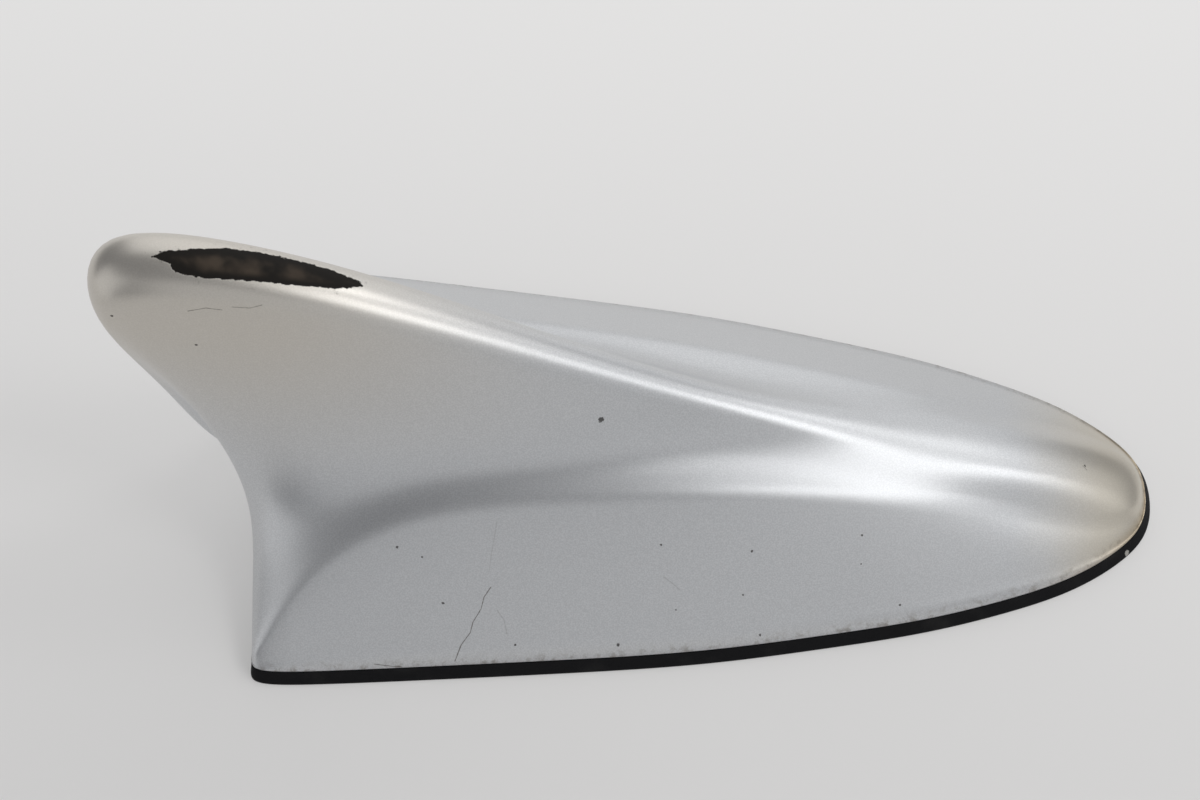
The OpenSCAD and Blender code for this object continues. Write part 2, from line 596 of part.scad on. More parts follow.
// Two sockets, open below, moulded in one with a flange that fills the base plate's window and rests on its edge
module socket_housing() {
    color([0.1, 0.1, 0.11]) difference() {
        union() {
            for (s = [-1, 1]) hull() {
                block(socket_x, s * socket_y, socket_z, [socket_l, socket_l, socket_d - 0.6]);
                block(socket_x, s * socket_y, socket_z, [mouth, mouth, socket_d + socket_wall]);
            }
            block(socket_x, 0, foot_z, [window_l, window_w, plate_t]);
            block(socket_x, 0, plate_top, lip);
        }
        for (s = [-1, 1]) {
            block(socket_x, s * socket_y, socket_z - 1, [mouth, mouth, socket_d + 1]);
            translate([socket_x, s * socket_y, socket_z + socket_d - 1])
                cylinder(r = shell_r, h = socket_wall + 2, $fn = 32);
        }
    }
}

module socket_shells() {
    color([0.8, 0.68, 0.42]) for (s = [-1, 1]) translate([socket_x, s * socket_y, socket_z + 5]) difference() {
        cylinder(r = shell_r, h = socket_top - socket_z - 5, $fn = 32);
        translate([0, 0, -1]) cylinder(r = shell_r - shell_t, h = socket_d - 4, $fn = 32);
        cylinder(r = pin_r, h = 20, $fn = 32);
    }
}

module socket_pins() {
    color([0.82, 0.7, 0.4]) for (s = [-1, 1]) translate([socket_x, s * socket_y, socket_z + 5.6])
        cylinder(r = pin_r, h = socket_top - socket_z - 5.6, $fn = 32);
}

// Bent contact that joins the main board to the upright board's foot
module contact_spring() {
    y0 = board_t / 2 + 0.02;
    color([0.8, 0.68, 0.42]) translate([fin_x + fin_foot_l / 2 - 1.3, 0, board_top])
        rotate([90, 0, 90]) linear_extrude(1.1)
        polygon([[y0 + 2.4, 0], [y0 + 2.4, 0.3], [y0 + 0.9, 0.3], [y0 + 0.3, 3.2], [y0, 3.2], [y0, 2.6],
            [y0 + 0.6, 0]]);
}

// Foam pad that steadies the upright board inside the fin
module foam_pad() {
    color([0.28, 0.28, 0.3]) translate([fin_x - 9, board_t / 2, fin_h * 0.5]) cube([12, 2, 6]);
}

cover();
gasket();
base_plate();
hole_seal();
cover_seal();
cover_screws();
earth_ring();
main_board();
board_screws();
fin_board();
fin_board_holder();
top_cap();
loading_coil();
phone_element();
satellite_patch();
satellite_pad();
satellite_pin();
position_patch();
position_pad();
position_pin();
shield_can();
amplifier_chips();
chip_parts();
socket_housing();
socket_shells();
socket_pins();
contact_spring();
foam_pad();
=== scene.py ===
# %% [markdown]
# # A shark fin roof aerial
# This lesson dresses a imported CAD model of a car's roof aerial. The real one is a hollow moulding, sprayed
# silver, that sits on a black rubber gasket. It has been used: paint is worn off the crest of its fin, and
# the rest carries specks, scratches and dirt.

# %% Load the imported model
import functools
import math

import bmesh
import bpy
import numpy as np
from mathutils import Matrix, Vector
from mathutils.bvhtree import BVHTree


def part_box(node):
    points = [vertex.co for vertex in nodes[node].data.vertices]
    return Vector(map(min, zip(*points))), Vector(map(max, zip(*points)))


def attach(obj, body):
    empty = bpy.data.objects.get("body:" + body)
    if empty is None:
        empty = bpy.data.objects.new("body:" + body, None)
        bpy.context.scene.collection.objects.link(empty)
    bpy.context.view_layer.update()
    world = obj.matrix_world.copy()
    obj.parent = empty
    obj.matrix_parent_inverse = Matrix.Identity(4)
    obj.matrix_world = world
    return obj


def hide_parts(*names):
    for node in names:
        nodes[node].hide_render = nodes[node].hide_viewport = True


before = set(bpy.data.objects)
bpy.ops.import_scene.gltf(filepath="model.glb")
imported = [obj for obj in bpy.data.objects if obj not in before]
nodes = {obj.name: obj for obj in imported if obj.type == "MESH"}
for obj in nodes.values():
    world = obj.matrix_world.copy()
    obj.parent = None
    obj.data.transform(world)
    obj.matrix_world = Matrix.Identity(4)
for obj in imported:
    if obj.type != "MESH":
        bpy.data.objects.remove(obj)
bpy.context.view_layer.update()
MM = 0.001
scene = bpy.context.scene
scene.view_settings.view_transform = "Standard"

# %% [markdown]
# The camera comes first, because some marks on the paint are placed by where the photograph shows them.
# The photograph looks down at the near side of the aerial from about 56 degrees, with the nose to the right.
# The lens is given by its focal length in pixels of a picture 1200 pixels wide. A camera can be set by eye in
# the viewport too, but one that is given by numbers also tells where a point of the model falls in the
# picture.

# %% Set up the camera
PICTURE_W, PICTURE_H = 1200, 800
FOCAL_PX = 2600
SENSOR_MM = 36
CAMERA_AIM = np.array([-20.0, 0.0, 23.4])
CAMERA_RISE = math.radians(56)
CAMERA_SWING = math.radians(2.64)
CAMERA_REACH = 400.0

camera_side = np.array([math.sin(CAMERA_SWING) * math.cos(CAMERA_RISE),
                        -math.cos(CAMERA_SWING) * math.cos(CAMERA_RISE), math.sin(CAMERA_RISE)])
camera_place = CAMERA_AIM + CAMERA_REACH * camera_side
camera = bpy.data.objects.new("camera", bpy.data.cameras.new("camera"))
camera.location = Vector(camera_place * MM)
camera.rotation_euler = Vector(-camera_side).to_track_quat("-Z", "Y").to_euler()
camera.data.sensor_width = SENSOR_MM
camera.data.lens = FOCAL_PX / PICTURE_W * SENSOR_MM
camera.data.clip_start = 0.01
scene.collection.objects.link(camera)
scene.camera = camera


def picture_place(points):
    """Where points in millimetres fall in the picture, in pixels from its top left corner."""
    right = np.array([math.cos(CAMERA_SWING), math.sin(CAMERA_SWING), 0.0])
    up = np.cross(camera_side, right)
    away = np.asarray(points) - camera_place
    depth = -(away @ camera_side)
    return np.stack([PICTURE_W / 2 + FOCAL_PX * (away @ right) / depth,
                     PICTURE_H / 2 - FOCAL_PX * (away @ up) / depth], axis=-1)


print("lens", round(camera.data.lens, 1), "mm")

# %% [markdown]
# The cover is one flowing surface, so it is drawn the way its designer would: by stations that run from the
# nose along the side, round the rear corner and in to the middle of the rear edge. Each station joins a point
# of the foot, a point of the side ridge and a point of the profile in the middle plane by a rib. It could be
# a subdivision surface shaped by hand, but then its sizes would be hidden in the places of its points. The
# same stations and sizes are in the CAD model. Here they are sampled more finely, for smooth reflections.

# %% Give the stations
BASE_L, BASE_W, TAIL_L = 140.0, 76.8, 22.0
FIN_H, FIN_W, RIDGE_H = 55.4, 10.0, 18.5
SKIRT_CROWN, NOSE_X, WALL, REAR_LAND = 0.4, 67.0, 2.2, 8.0
FOOT_Z = 2.2
HALF_W = BASE_W / 2
REAR_X = NOSE_X - BASE_L
# The station at the rear corner: those after it lie on the rear edge
CORNER = 10

foot_shares = np.array([[-0.3, 0], [0.3, 15.5], [3.5, 28.5], [9, 42.5], [16, 53], [25.5, 64.5], [36.5, 73],
                        [50, 83], [65, 89], [80, 94.5], [93, 99], [99.5, 100], [99, 91], [99.5, 67.5],
                        [99.5, 34], [101, 0]])
ridge_height = RIDGE_H / 100 * np.array([7, 9, 17, 31.5, 48, 66.5, 82, 95, 98, 97, 65.5, 11.5, 6, 10, 16.5,
                                          23])
skirt_lean = np.array([0.5, 0.7, 1.1, 1.4, 1.35, 1.2, 1.1, 1.05, 1, 1, 1, 0.6, 0, 0, 0, 0])
profile_shares = np.array([[0, 0, 0], [0.7, 0, 6], [4, 0, 11], [9.5, 0, 16.5], [17, 0, 21.5], [26.5, 0, 26.5],
                           [37, 0, 33.5], [49.5, 0, 42.5], [67, 0, 62.5], [88.5, 0, 89], [97, 60, 102],
                           [100, 102, 97.5], [100, 100, 77.5], [100, 67, 46], [100, 45.5, 20], [0, 0, 0]])
# Radius of the rib's rounded top as a percentage of half the fin's width, the angle it turns through, its
# slope at the ridge, how long it holds each of those two directions, and its forward bow
rib_form = np.array([[400, 12, 50, .33, .33, 0], [400, 12, 46, .33, .33, 0], [400, 12, 42, .33, .33, 0],
                     [400, 12, 36, .33, .33, 0], [400, 13, 26, .33, .33, 0], [280, 17, 16, .33, .35, 0],
                     [120, 30, 12, .36, .35, 0], [75, 52, 12, .48, .36, 0], [85, 66, 14, .56, .34, 0],
                     [115, 74, 16, .62, .3, .4], [120, 80, 22, .72, .22, 2], [145, 84, 22, .84, .34, 2.8],
                     [110, 84, 16, .86, .62, 3], [85, 82, 12, .72, .6, 4.4], [85, 76, 8, .5, .5, 1.4],
                     [70, 60, 8, .33, .4, 0]])
LAST = len(foot_shares) - 1
foot_points = np.stack([NOSE_X - foot_shares[:, 0] * BASE_L / 100, foot_shares[:, 1] * HALF_W / 100], axis=1)
print("stations:", LAST + 1)


# %% [markdown]
# A cubic B-spline runs smoothly past its control points and changes only near the one that is moved. That
# makes it a good curve for a moulding: each station can be eased without putting a wave in the others.

# %% Curves through the stations
def spline(control, u):
    control = np.asarray(control, float)
    i = np.minimum(np.floor(u).astype(int), len(control) - 4)
    t = (u - i)[:, None]
    return (control[i] * (1 - t) ** 3 + control[i + 1] * (3 * t ** 3 - 6 * t ** 2 + 4)
            + control[i + 2] * (-3 * t ** 3 + 3 * t ** 2 + 3 * t + 1) + control[i + 3] * t ** 3) / 6


def mirrored_ends(rows):
    flip = np.ones(rows.shape[1])
    flip[1] = -1
    return np.vstack([rows[1] * flip, rows, rows[-2] * flip])


def free_ends(rows):
    return np.vstack([2 * rows[0] - rows[1], rows, 2 * rows[-1] - rows[-2]])


def unit(v):
    return v / np.maximum(np.linalg.norm(v, axis=-1, keepdims=True), 1e-9)


foot_along = mirrored_ends(foot_points)
foot_along = unit(foot_along[2:] - foot_along[:-2])
foot_out = np.stack([foot_along[:, 1], -foot_along[:, 0]], axis=1)


def inset_foot(side, rear):
    """Control points of the foot, moved in by side millimetres, and by rear along the rear edge."""
    side = np.broadcast_to(side, LAST + 1)[:, None]
    # Nothing of the rear's shift before the corner, a share of it at the corner and all of it behind
    share = np.array([[0.0], [0.6], [1.0]])[np.clip(np.arange(LAST + 1) - CORNER + 1, 0, 2)]
    back = np.hstack([foot_points[:, :1] + share * rear, foot_points[:, 1:] * (HALF_W - side) / HALF_W])
    return np.where(np.arange(LAST + 1)[:, None] < CORNER, foot_points - foot_out * side, back)


print("the foot's widest control point:", round(foot_points[:, 1].max(), 1), "mm from the middle")


# %% [markdown]
# The inner face of the moulding runs a wall's thickness inside the outer one. A Solidify modifier would be
# quicker, but where the nose and the fin are thin its faces would pass through each other. So both faces come
# from the same stations, by one function that gives the rows of control points for a surface at any depth.

# %% Rows of control points at a depth
# The ridge of a deeper face lies these shares of the depth further in and lower, but always above the foot
RIDGE_IN, RIDGE_DOWN, LEAST_RIDGE_H = 0.47, 0.94, 0.4
LEAST_ROUND = 0.8


def guide_curves(depth):
    """Control rows of foot, ridge, profile and rib for a surface that lies depth inside the outer one."""
    rear = REAR_LAND if depth > 0 else 0
    foot = inset_foot(depth * np.sqrt(1 + skirt_lean ** 2), rear)
    crest = foot_points - foot_out * (ridge_height * skirt_lean + RIDGE_IN * depth)[:, None]
    if depth > 0:
        behind = np.arange(LAST + 1) > CORNER
        crest[behind] = inset_foot(depth + ridge_height * skirt_lean, rear)[behind]
    crest[[0, -1], 1] = 0
    crest = np.column_stack([crest, FOOT_Z + np.maximum(ridge_height - RIDGE_DOWN * depth, LEAST_RIDGE_H)])
    crest = mirrored_ends(crest)
    back = profile_shares[:, 0] * BASE_L + profile_shares[:, 1] * TAIL_L
    middle = np.column_stack([NOSE_X - back / 100, FOOT_Z + profile_shares[:, 2] * FIN_H / 100])
    middle[[0, -1]] = spline(crest, np.array([0.0, LAST]))[:, [0, 2]]
    along = unit(middle[2:] - middle[:-2])
    middle[1:-1] -= np.stack([along[:, 1], -along[:, 0]], axis=1) * depth
    form = rib_form.copy()
    form[:, 0] = np.maximum(form[:, 0] / 100 * FIN_W / 2 - depth, LEAST_ROUND)
    return mirrored_ends(foot), crest, free_ends(middle), free_ends(form)


print("rows of control points:", [len(rows) for rows in guide_curves(0)])


# %% [markdown]
# A rib starts with a rounded top, whose radius shrinks where the form is narrow, and falls on one Bezier
# curve to the side ridge. From there the skirt runs almost straight to the foot, with a slight crown, because
# a moulding with dead flat sides would look hollow.

# %% Ribs and skirt
# How strongly a narrow form shrinks the rounded top, and the length of skirt that has its full crown
NARROWING, FULL_CROWN_AT = 0.25, 12


def rib_line(k, r, form, top_n, fall_n):
    """One rib from the profile point k (x, z) down to the ridge point r, on the left side."""
    radius, turn, slope, hold_top, hold_ridge, bow = form
    turn, slope = math.radians(turn), math.radians(slope)
    drop = math.hypot(r[0] - k[0], r[2] - k[1])
    down = np.array([r[0] - k[0], r[2] - k[1]]) / drop if drop > 1e-6 else np.zeros(2)
    radius = radius * r[1] / (r[1] + NARROWING * radius)
    arc_end = radius * np.array([1 - math.cos(turn), math.sin(turn)])
    end = np.array([drop, r[1]])
    chord = np.linalg.norm(end - arc_end)
    lead = arc_end + hold_top * chord * np.array([math.sin(turn), math.cos(turn)])
    trail = end - hold_ridge * chord * np.array([math.sin(slope), math.cos(slope)])
    a = np.linspace(0, turn, top_n + 1)[:-1, None]
    v = np.linspace(0, 1, fall_n + 1)[:, None]
    fall = arc_end * (1 - v) ** 3 + lead * 3 * v * (1 - v) ** 2 + trail * 3 * v ** 2 * (1 - v) + end * v ** 3
    flat = np.vstack([radius * np.hstack([1 - np.cos(a), np.sin(a)]), fall])
    share = flat[:, 0] / max(drop, 1e-6)
    lift = 4 * bow * share * (1 - share)
    return np.column_stack([k[0] + flat[:, 0] * down[0] - lift * down[1], flat[:, 1],
                            k[1] + flat[:, 0] * down[1] + lift * down[0]])


def skirt_line(r, a, n):
    """The skirt from the ridge point r down to the foot point a, a little crowned."""
    fall = np.array([a[0], a[1], FOOT_Z]) - r
    out = math.hypot(fall[0], fall[1])
    normal = unit(np.array([-fall[0] * fall[2], -fall[1] * fall[2], out * out]))
    v = np.linspace(0, 1, n + 1)[1:, None]
    crown = SKIRT_CROWN * min(1, np.linalg.norm(fall) / FULL_CROWN_AT)
    return r + fall * v + normal * 4 * v * (1 - v) * crown


print("ribs and skirt ready")

# %% [markdown]
# On the real moulding the side ridge is a soft edge. A Bevel modifier that looks for sharp angles would miss
# it where it fades out towards the nose. Here a short blend takes the place of the corner, and the points
# along each rib are spaced out again, so that every rib keeps the same count of them.

# %% Round the ridge
# Reach of the blend to each side, and the most it takes of a short rib or skirt
RIDGE_ROUND, MOST_TAKEN = 1.8, 0.3


def distances(line):
    """How far from its start each point of a line lies, along the line."""
    return np.concatenate([[0], np.cumsum(np.linalg.norm(np.diff(line, axis=0), axis=1))])


def points_at(line, reach):
    """The point of a line at a distance from its start, or the points at several."""
    at = distances(line)
    return np.stack([np.interp(reach, at, line[:, c]) for c in range(3)], axis=-1)


def round_ridge(rib, skirt, blend_n):
    """Joins a rib and its skirt by a short blend, keeping the count of points the same on every rib."""
    below = np.vstack([rib[-1:], skirt])
    rib_at, below_at = distances(rib), distances(below)
    up, down = [min(RIDGE_ROUND, MOST_TAKEN * at[-1]) for at in (rib_at, below_at)]
    start, finish = points_at(rib[::-1], up), points_at(below, down)
    v = np.linspace(0, 1, blend_n + 1)[:, None]
    blend = start * (1 - v) ** 2 + rib[-1] * 2 * v * (1 - v) + finish * v ** 2
    upper = np.vstack([rib[rib_at < rib_at[-1] - up - 1e-6], start])
    lower = np.vstack([finish, below[below_at > down + 1e-6]])
    upper = points_at(upper, rib_at / max(rib_at[-1], 1e-9) * distances(upper)[-1])
    lower = points_at(lower, np.linspace(0, distances(lower)[-1], len(skirt)))
    return np.vstack([upper, blend[1:-1], lower])


print("the ridge is rounded over", RIDGE_ROUND, "mm to each side")

# %% [markdown]
# The ribs become two grids of points, one for each face of the moulding. Both have one count of ribs, so that
# the land at the foot can join them rib by rib. The foot's painted edge is eased: the last point of a rib
# rises a little, and one more turns in under it.

# %% Sample the outer and the inner face
STEPS, BLEND_N = 16, 6
# Points along a rib's rounded top, its fall and its skirt: the inner face needs fewer
OUTER_COUNTS, INNER_COUNTS = (8, 26, 8), (4, 10, 4)
EDGE_ROUND, EDGE_IN = 0.35, 0.06


def half_grid(depth, top_n, fall_n, skirt_n, rounded):
    """Ribs from the nose round to the rear, each a row of points from the middle plane to the foot."""
    foot, crest, middle, form = guide_curves(depth)
    u = np.arange(LAST * STEPS + 1) / STEPS
    rows = []
    for a, r, k, f in zip(spline(foot, u), spline(crest, u), spline(middle, u), spline(form, u)):
        rib, skirt = rib_line(k, r, f, top_n, fall_n), skirt_line(r, a, skirt_n)
        rows.append(round_ridge(rib, skirt, BLEND_N) if rounded else np.vstack([rib, skirt]))
    return np.array(rows)


def full_grid(half):
    """Mirrors a half grid, whose first column is the middle line, into columns from right to left."""
    return np.concatenate([half[:, :0:-1] * [1, -1, 1], half], axis=1)


outer_half = half_grid(0, *OUTER_COUNTS, True)
foot_edge = outer_half[:, -1].copy()
outer_half[:, -1, 2] = FOOT_Z + EDGE_ROUND
under = foot_edge + (outer_half[:, -2] - foot_edge) * [EDGE_IN, EDGE_IN, 0]
outer_half = np.concatenate([outer_half, under[:, None]], axis=1)
inner_half = half_grid(WALL, *INNER_COUNTS, False)
outer, inner = full_grid(outer_half), full_grid(inner_half)
print("outer grid", outer.shape, "inner grid", inner.shape)

# %% [markdown]
# A mesh is a list of points and a list of faces that name their points by number. In a grid those numbers
# follow from the row and the column, so a loop can write the faces. Points that fall on each other are merged
# afterwards, and all faces are turned to look outwards.

# %% Turn grids into meshes
def mesh_piece(name, points, faces, smooth=True):
    mesh = bpy.data.meshes.new(name)
    mesh.from_pydata((np.asarray(points) * MM).tolist(), [], faces)
    mesh.validate()
    mesh.update()
    piece = bpy.data.objects.new(name, mesh)
    scene.collection.objects.link(piece)
    mesh.polygons.foreach_set("use_smooth", [smooth] * len(mesh.polygons))
    return piece


def grid_faces(rows, columns, start=0, flip=False):
    """Four-cornered faces of a grid whose first point has the number start."""
    faces = []
    for i in range(rows - 1):
        for j in range(columns - 1):
            a = start + i * columns + j
            quad = (a, a + 1, a + columns + 1, a + columns)
            faces.append(quad[::-1] if flip else quad)
    return faces


def merge_close(piece):
    made = bmesh.new()
    made.from_mesh(piece.data)
    bmesh.ops.remove_doubles(made, verts=made.verts, dist=2e-6)
    bmesh.ops.dissolve_degenerate(made, edges=made.edges, dist=1e-7)
    bmesh.ops.recalc_face_normals(made, faces=made.faces)
    made.to_mesh(piece.data)
    made.free()
    return piece


print("mesh helpers ready")

# %% [markdown]
# The two faces and the land between their feet make one closed shell. At the nose and at the middle of the
# rear edge its left and right halves meet, which is where points fall on each other.

# %% Join the faces of the shell
def shell_mesh(name):
    rows, wide, narrow = outer.shape[0], outer.shape[1], inner.shape[1]
    points = np.vstack([outer.reshape(-1, 3), inner.reshape(-1, 3)])
    start = rows * wide
    faces = grid_faces(rows, wide) + grid_faces(rows, narrow, start, flip=True)
    for i in range(rows - 1):
        for a, b in ((0, 0), (wide - 1, narrow - 1)):
            inner_a, inner_b = start + (i + 1) * narrow + b, start + i * narrow + b
            faces.append((i * wide + a, (i + 1) * wide + a, inner_a, inner_b))
    return merge_close(mesh_piece(name, points, faces))


cover = shell_mesh("cover_shell")
print("cover:", len(cover.data.vertices), "points,", len(cover.data.polygons), "faces")

# %% [markdown]
# Inside the shell stand posts that take the screws from below. Their places follow from the foot's outline
# and from the room that the wall, the plate, the seal and the screws' heads need, as in the CAD model.

# %% Place the screw posts
PLATE_T, PLATE_GAP, FLANGE_SEAT, HEAD_R, SCREW_CLEAR, SEAT_EDGE = 2.4, 1.3, 3.0, 2.8, 0.15, 1.6
FRONT_SCREW_IN, REAR_SCREW_IN, MID_X = 24.0, 9, -2.0
# A wall that leans at 45 degrees takes this much room sideways
LEANING_WALL = WALL * 1.41
rear_post_x = REAR_X + REAR_LAND + REAR_SCREW_IN
side_line = spline(mirrored_ends(foot_points), np.linspace(CORNER - 0.5, 0, 60))


def foot_half(x):
    return float(np.interp(x, side_line[:, 0], side_line[:, 1]))


post_room = LEANING_WALL + PLATE_T + PLATE_GAP + FLANGE_SEAT + HEAD_R + SCREW_CLEAR + SEAT_EDGE
post_places = [(NOSE_X - FRONT_SCREW_IN, 0.0)] + [
    (x, side * (foot_half(x) - post_room)) for x in (MID_X, rear_post_x) for side in (-1, 1)]
print("posts at", [(round(x, 1), round(y, 1)) for x, y in post_places])

# %% [markdown]
# Each post is stiffened by two crossed gussets and is moulded in one with the cover, so it joins the cover's
# mesh. A Boolean could fuse them, but it leaves ragged faces on a curved wall. Instead the posts' tops end
# inside the wall, where nothing shows.

# %% Add the screw posts
PAD_H, POST_R, POST_TOP, LEAST_POST_H = 1.0, 3.2, 12.0, 0.5
GUSSET_T, GUSSET_REACH, GUSSET_UP = 1.4, 1.5, 1.0
POST_Z = FOOT_Z + PLATE_T + PAD_H
inner_face = BVHTree.FromPolygons(inner.reshape(-1, 3).tolist(), grid_faces(inner.shape[0], inner.shape[1]))


def post_top(x, y, low):
    """Height of a post at one of its points: a third of the wall above the shell's inner face, or lower."""
    hit = inner_face.ray_cast(Vector((x, y, FOOT_Z)), Vector((0, 0, 1)))[0]
    least = low + LEAST_POST_H
    return min(POST_Z + POST_TOP, max(hit.z + WALL / 3, least)) if hit else least


def post_prism(made, outline_points, low):
    """A closed prism that stands on an outline at the height low and ends inside the wall above."""
    floor_ring = [made.verts.new((x * MM, y * MM, low * MM)) for x, y in outline_points]
    top_ring = [made.verts.new((x * MM, y * MM, post_top(x, y, low) * MM)) for x, y in outline_points]
    made.faces.new(floor_ring[::-1])
    made.faces.new(top_ring)
    for i in range(len(floor_ring)):
        j = (i + 1) % len(floor_ring)
        made.faces.new((floor_ring[i], floor_ring[j], top_ring[j], top_ring[i]))


def add_posts(piece):
    made = bmesh.new()
    made.from_mesh(piece.data)
    for x, y in post_places:
        around = np.linspace(0, 2 * math.pi, 33)[:-1]
        post_prism(made, [(x + POST_R * math.cos(a), y + POST_R * math.sin(a)) for a in around], POST_Z)
        along = np.linspace(-1, 1, 9) * (POST_R + GUSSET_REACH)
        for turn in (0, 1):
            sides = [(a, -GUSSET_T / 2) for a in along] + [(a, GUSSET_T / 2) for a in along[::-1]]
            outline = [(x - b, y + a) if turn else (x + a, y + b) for a, b in sides]
            post_prism(made, outline, POST_Z + GUSSET_UP)
    made.to_mesh(piece.data)
    made.free()


add_posts(cover)
print("cover with its posts:", len(cover.data.polygons), "faces")

# %% [markdown]
# The gasket is moulded rubber. Its top edge lies flush under the cover's painted edge, and its side flares
# out to a thin lip that seals on the roof. Underneath, a groove lets the rubber spread as the bolt pulls it
# down. Its profile is given ring by ring, by how far each ring lies inside or outside the cover's edge.

# %% Give the gasket's profile
LIP_W, LIP_REAR_W, LIP_T = 1.1, 0.2, 0.5
GROOVE_IN, GROOVE_W, GROOVE_D = 2.0, 2.0, 0.5
GASKET_ROUND = 0.12
# The flare between the top edge and the lip: shares of the lip's width and of the fall
FLARE_STEPS = [(0.35, 0.45), (0.75, 0.8)]


def inner_edge(extra):
    """Control points of the gasket's inner edge, which lies under the base plate's edge."""
    lean = skirt_lean[np.minimum(np.arange(LAST + 1), CORNER)]
    side = WALL * np.sqrt(1 + lean ** 2) + PLATE_T * lean + PLATE_GAP + FLANGE_SEAT
    return inset_foot(side + extra, REAR_LAND + PLATE_GAP + 0.5 + FLANGE_SEAT + extra)


def out(side, rear):
    """Control points of the cover's foot, moved outwards by side, and by rear along the rear edge."""
    return inset_foot(-side, -rear)


def gasket_profile():
    """Rings of the gasket as control points and heights, from the top inside edge round and back to it."""
    c = GASKET_ROUND
    flare = [(LIP_W * s, LIP_REAR_W * s, FOOT_Z - (FOOT_Z - LIP_T) * h) for s, h in FLARE_STEPS]
    rings = [(inner_edge(0), FOOT_Z - c), (inner_edge(-c), FOOT_Z), (out(-0.4, -0.4), FOOT_Z),
             (out(-0.05, -0.05), FOOT_Z - 0.02), (out(0.05, 0.0), FOOT_Z - c)]
    rings += [(out(side, rear), z) for side, rear, z in flare]
    rings += [(out(LIP_W - 0.1, LIP_REAR_W - 0.05), LIP_T + 0.08), (out(LIP_W, LIP_REAR_W), LIP_T - 0.06),
              (out(LIP_W, LIP_REAR_W), 0.14), (out(LIP_W - c, LIP_REAR_W - c), 0.0)]
    for deep, z in ((0, 0), (0.06, GROOVE_D), (GROOVE_W - 0.06, GROOVE_D), (GROOVE_W, 0)):
        rings.append((inset_foot(GROOVE_IN + deep, GROOVE_IN + deep), z))
    return rings + [(inner_edge(-c), 0.0), (inner_edge(0), c)]


print("rings in the gasket's profile:", len(gasket_profile()))

# %% [markdown]
# The rings run along the same stations as the cover, so the two edges match all the way round. A curve with a
# bevel could sweep one section round the foot, but this lip is narrower at the rear than at the sides.

# %% Sweep the gasket
GASKET_STEPS = 12


def sweep_rings(name, rings, steps):
    """A closed loop of rings, each a control list on the left side, mirrored to the right and joined."""
    u = np.arange(LAST * steps + 1) / steps
    grid = []
    for control, z in rings:
        left = spline(mirrored_ends(control), u)
        loop = np.vstack([left, left[-2:0:-1] * [1, -1]])
        grid.append(np.column_stack([loop, np.full(len(loop), z)]))
    grid = np.array(grid)
    grid = np.concatenate([grid, grid[:, :1]], axis=1)
    grid = np.concatenate([grid, grid[:1]], axis=0)
    return merge_close(mesh_piece(name, grid.reshape(-1, 3), grid_faces(grid.shape[0], grid.shape[1])))


gasket = sweep_rings("gasket_moulding", gasket_profile(), GASKET_STEPS)
gasket.data.set_sharp_from_angle(angle=math.radians(50))
gasket_box = np.array(gasket.bound_box)[[0, 6]] / MM
print("gasket:", len(gasket.data.polygons), "faces, box", np.round(gasket_box, 1).tolist())

# %% [markdown]
# The marks of use are placed by where the photograph shows them: a ray from the camera through a point of the
# picture meets the piece, and that point in space is kept. The marks then belong to the surface, like real
# ones.

# %% Find what a point of the picture shows
GASKET_CHIP = (1127, 553)
picture_right = np.array([math.cos(CAMERA_SWING), math.sin(CAMERA_SWING), 0.0])
picture_up = np.cross(camera_side, picture_right)


def shown_at(faces, x, y):
    """The point, in millimetres, of a piece's faces that shows at pixel (x, y) of the picture, or None."""
    way = ((x - PICTURE_W / 2) * picture_right - (y - PICTURE_H / 2) * picture_up) / FOCAL_PX - camera_side
    hit = faces.ray_cast(Vector(camera_place * MM), Vector(way).normalized())[0]
    return tuple(np.array(hit) / MM) if hit else None


cover_faces, gasket_faces = [BVHTree.FromObject(piece, bpy.context.evaluated_depsgraph_get())
                             for piece in (cover, gasket)]
gasket_chip = shown_at(gasket_faces, *GASKET_CHIP)
print("chip on the gasket at", gasket_chip and np.round(gasket_chip, 1))

# %% [markdown]
# The clearest chips and scratches are listed one by one. Noise could scatter such marks over the paint, but
# never where the real ones are.

# %% Place the marks on the cover
# Chips through the paint: place in the picture and radius in millimetres
CHIPS = [(601, 420, 0.42), (397, 547, 0.2), (422, 557, 0.16), (443, 603, 0.2), (515, 645, 0.2),
         (661, 545, 0.15), (752, 551, 0.2), (743, 595, 0.16), (862, 535, 0.18), (861, 564, 0.16),
         (676, 610, 0.14), (112, 316, 0.25), (196, 345, 0.2), (618, 645, 0.26), (760, 635, 0.22),
         (900, 605, 0.2), (1085, 466, 0.2)]
# Scratches: points of the picture that each passes through, and how strongly it shows
SCRATCHES = [(((491, 587), (484, 597), (481, 609), (473, 622), (470, 633), (461, 645), (455, 661)), 0.7),
             (((188, 311), (206, 308), (222, 310)), 0.5), (((232, 307), (250, 308), (262, 305)), 0.45),
             (((374, 664), (388, 666), (402, 667)), 0.6), (((497, 522), (492, 550), (489, 572)), 0.15),
             (((497, 610), (504, 620), (507, 634)), 0.2), (((664, 577), (672, 583), (680, 590)), 0.2),
             (((1083, 466), (1087, 470)), 0.4)]
chip_places = [(shown_at(cover_faces, x, y), r) for x, y, r in CHIPS]
scratch_places = [([shown_at(cover_faces, *p) for p in line], strength) for line, strength in SCRATCHES]
print("chips on the cover:", sum(p is not None for p, _ in chip_places), "of", len(CHIPS))

# %% [markdown]
# Hands and car washes have rubbed the paint off the crest of the fin. The bare patch is a soft-cornered
# shape, given by a few points of the picture. Painting it as an image would need an unwrapped mesh. Instead
# each point of the mesh stores how far it lies inside that shape, in millimetres, and the material turns the
# number into a ragged edge.

